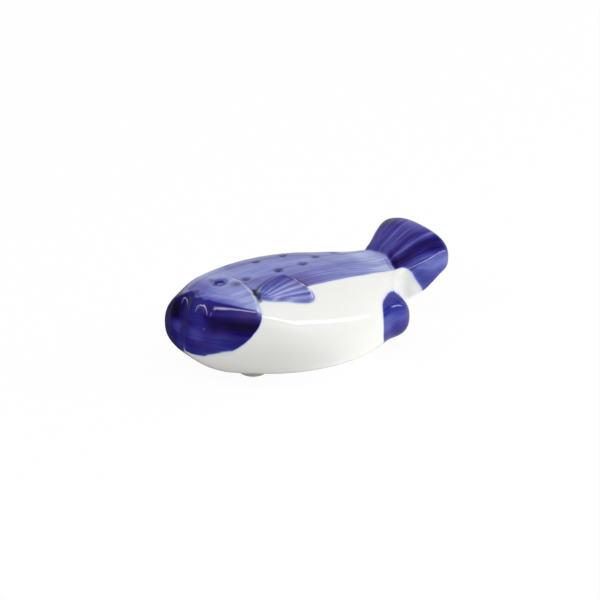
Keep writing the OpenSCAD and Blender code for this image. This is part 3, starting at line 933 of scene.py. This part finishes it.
glaze = {
    "stops": [(0.0, linear(240, 241, 236)), (0.12, linear(196, 212, 240)), (0.3, linear(140, 148, 208)),
              (0.5, linear(84, 90, 174)), (0.68, linear(42, 42, 138)), (0.84, linear(27, 12, 102)),
              (1.0, linear(13, 7, 34))],
    # Dark grey for pooled glaze and painted shade in the hollows
    "foot": linear(228, 224, 214), "pool": linear(52, 48, 56),
    "violet": linear(140, 120, 190), "darkViolet": linear(40, 14, 84),
    "roughness": 0.05, "footRoughness": 0.6, "ior": 1.5,
    # The blue's edge: wobble and softness, faint blue outside it and thin blue inside
    "wobble": 0.3, "wobbleScale": 420, "edge": (-0.2, 0.2),
    "haloEdge": (-0.7, 0.1), "halo": 0.07, "innerEdge": (0.0, 0.6), "inner": -0.08,
    # Strokes: scales along and across, then layer, detail and roughness of the noise, then strength
    "strokeScales": (0.055, 1.0), "strokeNoise": (0.0, 3, 0.6), "stroke": 0.4,
    "fineScales": (0.1, 3.0), "fineNoise": (3.0, 2, 0.55), "fine": 0.2,
    "tintScales": (0.09, 0.5), "tintNoise": (7.0, 2, 0.5), "tint": 1.3, "tintFrom": 0.45, "violetShare": 0.55,
    # Blotches, single brush lines, and how much the painted highlights pale the blue
    "blotch": 0.2, "blotchScale": 190, "linesAcross": 6.5, "linesWaver": 5.0, "lines": 0.045, "rim": 0.36,
}


def porcelainGlaze():
    shader = Shader(bpy.data.materials.new("porcelainGlaze"))
    at = shader.objectPlace()
    along, across = shader.attribute("strokeAlong"), shader.attribute("strokeAcross")

    def brush(name):
        scaleAlong, scaleAcross = glaze[name + "Scales"]
        return shader.brush(along * scaleAlong, across * scaleAcross, *glaze[name + "Noise"])

    stroke, fine = brush("stroke"), brush("fine")
    edge = shader.attribute("paintEdge") + (shader.noise(at, glaze["wobbleScale"]) - 0.5) * glaze["wobble"]
    cover = shader.smooth(edge, *glaze["edge"])
    halo = shader.smooth(edge, *glaze["haloEdge"], (0.0, glaze["halo"]))
    inner = shader.smooth(edge, *glaze["innerEdge"], (glaze["inner"], 0.0))
    wave = (across * glaze["linesAcross"] + stroke * glaze["linesWaver"]).maths("SINE")
    streaks = ((stroke - 0.5) * glaze["stroke"] + (fine - 0.5) * glaze["fine"]) * shader.attribute("streaks")
    blotch = (shader.noise(at, glaze["blotchScale"]) - 0.5) * glaze["blotch"]
    depth = shader.attribute("tone") + wave * shader.attribute("lines") * glaze["lines"] + streaks + blotch
    # Painted highlights pale the blue along raised edges
    density = halo + cover * (depth + inner - halo - shader.attribute("rim") * glaze["rim"])
    colour = shader.node("ShaderNodeValToRGB", {"stops": glaze["stops"]}, {"Fac": density})
    tint = (brush("tint") - glaze["tintFrom"]) * glaze["tint"]
    tint = (tint + shader.attribute("violet") * glaze["violetShare"]) * cover
    colour = shader.mix(tint, colour, shader.mix(density, (*glaze["violet"], 1), (*glaze["darkViolet"], 1)))
    # Painted shade and pooled glaze darken the hollows
    colour = shader.mix(shader.attribute("pool"), colour, (*glaze["pool"], 1))
    foot = shader.attribute("foot")
    colour = shader.mix(foot, colour, (*glaze["foot"], 1))
    roughness = foot * glaze["footRoughness"] + glaze["roughness"]
    shader.output(shader.node("ShaderNodeBsdfPrincipled", {}, {
        "Base Color": colour, "Roughness": roughness, "IOR": glaze["ior"]}))
    return shader.owner


porcelain.data.materials.append(porcelainGlaze())

# Clear polyurethane of the pads and their adhesive, a little cloudy
clear = {
    "foot_pad": {"colour": linear(232, 229, 214), "roughness": (0.12, 0.3), "clearness": 0.4},
    "pad_adhesive": {"colour": linear(196, 190, 170), "roughness": (0.4, 0.6), "clearness": 0.5},
}
cloud = {"scale": 900, "detail": 3, "edge": (0.3, 0.7), "shade": 0.8, "ior": 1.48}


def clearMaterial(name, settings):
    shader = Shader(bpy.data.materials.new(name))
    cloudy = shader.noise(shader.objectPlace(), cloud["scale"], cloud["detail"])
    dim = [c * cloud["shade"] for c in settings["colour"]]
    colour = shader.mix(cloudy, (*dim, 1), (*settings["colour"], 1))
    shader.output(shader.node("ShaderNodeBsdfPrincipled", {}, {
        "Base Color": colour, "Roughness": shader.smooth(cloudy, *cloud["edge"], settings["roughness"]),
        "IOR": cloud["ior"], "Transmission Weight": settings["clearness"]}))
    return shader.owner


for ending, settings in clear.items():
    material = clearMaterial("clear_" + ending, settings)
    for name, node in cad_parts.items():
        if name.endswith(ending):
            node.data.materials.clear()
            node.data.materials.append(material)

print("stage: camera and lights")

camera = {"azimuth": -35, "elevation": 26, "distance": 420.0, "lens": 123.9, "sensor": 36, "clip": (0.01, 100),
          "aim": (0.0, 1.4, 9.0), "shiftRight": -1.69, "shiftUp": -0.875}


def direction(azimuth, elevation):
    a, e = math.radians(azimuth), math.radians(elevation)
    return Vector((math.sin(a) * math.cos(e), -math.cos(a) * math.cos(e), math.sin(e)))


def makeCamera():
    back = direction(camera["azimuth"], camera["elevation"])
    right = direction(camera["azimuth"] + 90, 0)
    up = back.cross(right)
    aim = Vector(camera["aim"]) + right * camera["shiftRight"] + up * camera["shiftUp"]
    data = bpy.data.cameras.new("camera")
    data.lens = camera["lens"]
    data.sensor_width = camera["sensor"]
    data.clip_start, data.clip_end = camera["clip"]
    obj = bpy.data.objects.new("camera", data)
    obj.location = (aim + back * camera["distance"]) * mm
    obj.rotation_mode = "QUATERNION"
    obj.rotation_quaternion = (-back).to_track_quat("-Z", "Y")
    bpy.context.scene.collection.objects.link(obj)
    bpy.context.scene.camera = obj


makeCamera()

# Lights and cards are measured in metres; a mirrored light also shows in reflections
studio = {
    "ambient": 0.56, "mirrored": 0.07, "floorSize": 3.0, "floorGlow": 0.95, "bounceGlow": 0.6,
    "paper": (0.92, 0.92, 0.92, 1),
    # Two places along x in millimetres, and the floor's strength at each
    "floorMirrored": (-14.0, 6.0, 0.04, 0.5), "floorBounce": (-26.0, 0.0, 0.5, 1.8),
    "lights": {
        "strip": {"azimuth": 27, "elevation": 75, "distance": 0.88, "turn": -12, "size": (3.0, 0.12),
                  "power": 7.0, "mirrored": False},
        "faintStrip": {"azimuth": -2, "elevation": 58, "distance": 0.9, "turn": -4, "size": (0.9, 0.04),
                       "power": 0.45, "mirrored": True},
        "fill": {"azimuth": 68, "elevation": 8, "distance": 0.9, "size": (0.6, 0.6),
                 "power": 1.9, "mirrored": False},
    },
    "cards": {
        "backSoftbox": {"azimuth": 129, "elevation": 18, "distance": 0.9, "size": (1.85, 0.9), "glow": 0.58},
        "stripGlow": {"azimuth": 27, "elevation": 75, "distance": 0.87, "turn": -12, "size": (3.2, 0.22),
                      "glow": 9.0},
    },
    "cardEdges": {"X": (0.2, 0.5), "Y": (0.0, 0.5)},
}


# Faces the middle of the scene, or lies level and turned where the settings have a turn
def facing(obj, settings):
    back = direction(settings["azimuth"], settings["elevation"])
    obj.location = back * settings["distance"]
    if "turn" in settings:
        obj.rotation_euler = (0, 0, math.radians(settings["turn"]))
    else:
        obj.rotation_mode = "QUATERNION"
        obj.rotation_quaternion = (-back).to_track_quat("-Z", "Y")


def makeLights():
    for name, settings in studio["lights"].items():
        data = bpy.data.lights.new(name, "AREA")
        data.shape = "RECTANGLE"
        data.size, data.size_y = settings["size"]
        data.energy = settings["power"]
        obj = bpy.data.objects.new(name, data)
        bpy.context.scene.collection.objects.link(obj)
        facing(obj, settings)
        obj.visible_glossy = settings["mirrored"]


# White to the eye and through the clear pads, dimmer as a light and in reflections
def makeWorld():
    world = bpy.data.worlds.new("studio")
    bpy.context.scene.world = world
    shader = Shader(world)
    seen = shader.ray("Camera").most(shader.ray("Transmission"))
    strength = seen * (1 - studio["ambient"]) + studio["ambient"]
    strength = strength - shader.ray("Glossy") * (studio["ambient"] - studio["mirrored"])
    surface = shader.node("ShaderNodeBackground", {}, {"Color": (1, 1, 1, 1), "Strength": strength})
    shader.output(surface, "ShaderNodeOutputWorld")


# Nearly white to the eye, dim at the snout and brighter behind in reflections and as a light
def makeFloor():
    bm = bmesh.new()
    bmesh.ops.create_grid(bm, x_segments=1, y_segments=1, size=studio["floorSize"] / 2)
    floor = newMesh("floor", bm)
    shader = Shader(bpy.data.materials.new("floorPaper"))
    x = shader.objectAxis("X")

    def alongFloor(low, high, start, end):
        return shader.smooth(x, low * mm, high * mm, (start, end))

    seen = shader.ray("Camera").most(shader.ray("Transmission"))
    mirrored = shader.ray("Glossy")
    bounced = 1 - seen - mirrored
    strength = seen + mirrored * alongFloor(*studio["floorMirrored"])
    strength = strength + bounced * alongFloor(*studio["floorBounce"])
    share = seen * studio["floorGlow"] + mirrored + bounced * studio["bounceGlow"]
    lit = shader.node("ShaderNodeBsdfDiffuse", {}, {"Color": studio["paper"]})
    shader.output(shader.mixShader(share, lit, shader.glow(strength)))
    floor.data.materials.append(shader.owner)


# Cards that only reflections see, with soft edges
def makeCards():
    for name, settings in studio["cards"].items():
        bm = bmesh.new()
        bmesh.ops.create_grid(bm, x_segments=1, y_segments=1, size=0.5)
        card = newMesh(name, bm)
        facing(card, settings)
        card.scale = (*settings["size"], 1)
        shader = Shader(bpy.data.materials.new(name))
        fadeX, fadeY = [shader.smooth(shader.objectAxis(axis).maths("ABSOLUTE"), *edge)
                        for axis, edge in studio["cardEdges"].items()]
        through = shader.node("ShaderNodeBsdfTransparent")
        shader.output(shader.mixShader(fadeX.most(fadeY), shader.glow(settings["glow"]), through))
        card.data.materials.append(shader.owner)
        card.visible_camera = card.visible_diffuse = card.visible_shadow = card.visible_transmission = False


makeWorld()
makeLights()
makeFloor()
makeCards()
bpy.context.scene.view_settings.view_transform = "Standard"
